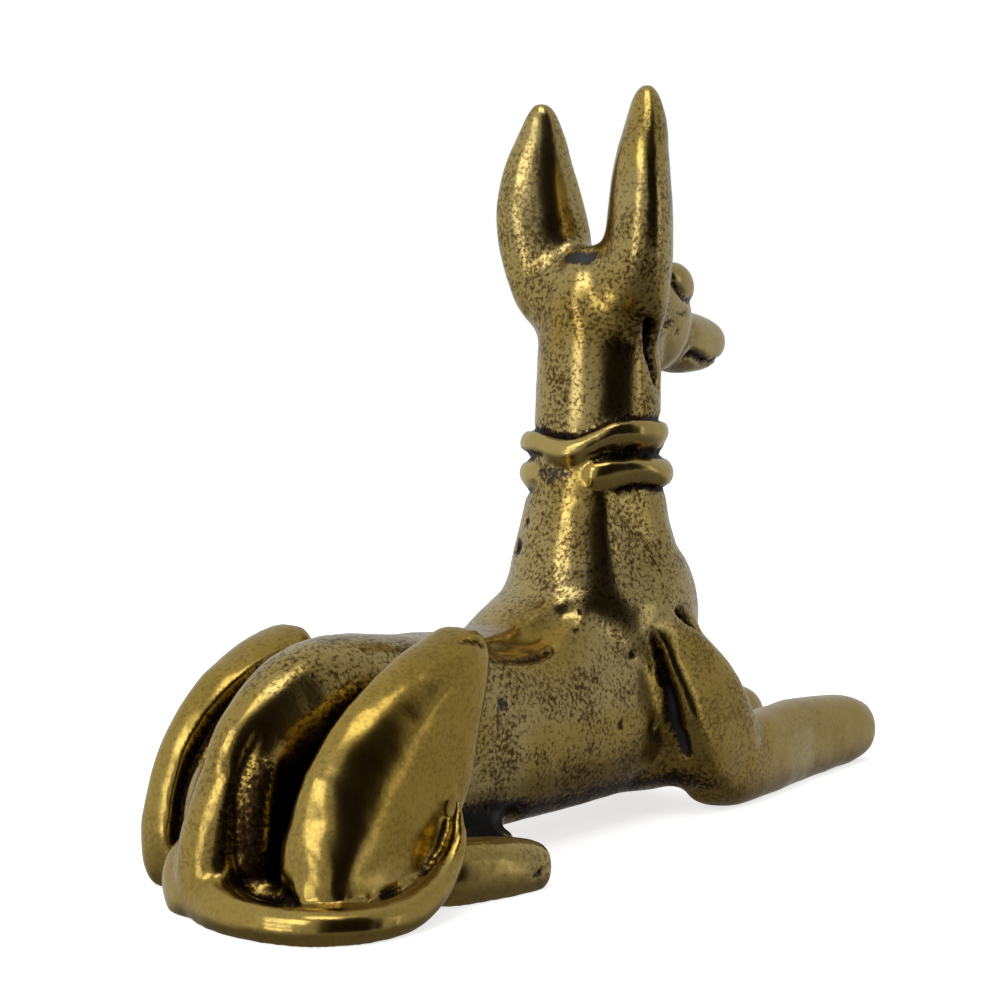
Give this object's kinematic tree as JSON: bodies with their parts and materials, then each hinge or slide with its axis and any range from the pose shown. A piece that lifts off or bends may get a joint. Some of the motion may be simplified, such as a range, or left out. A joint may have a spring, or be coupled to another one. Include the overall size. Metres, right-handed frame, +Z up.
{
  "type": "reclining jackal figurine",
  "caption": "Small reclining jackal of antiqued cast brass, head up with tall ears and a wound collar, tail curled round its haunch; it stands on its feet and underside.",
  "frame": {"origin": "on the table, under the middle of the figure's length and width", "axes": "+Z up, +X the way the animal faces, +Y its left side"},
  "size_m": [0.0578, 0.0196, 0.042],
  "materials": {
    "brass": "antiqued cast brass: olive-gold metal, brighter where handling polished the ridges, brown mottling, near-black patina in the recesses, a few casting pits"
  },
  "bodies": {
    "root": {"jackal_figure": "brass"}
  },
  "joints": []
}
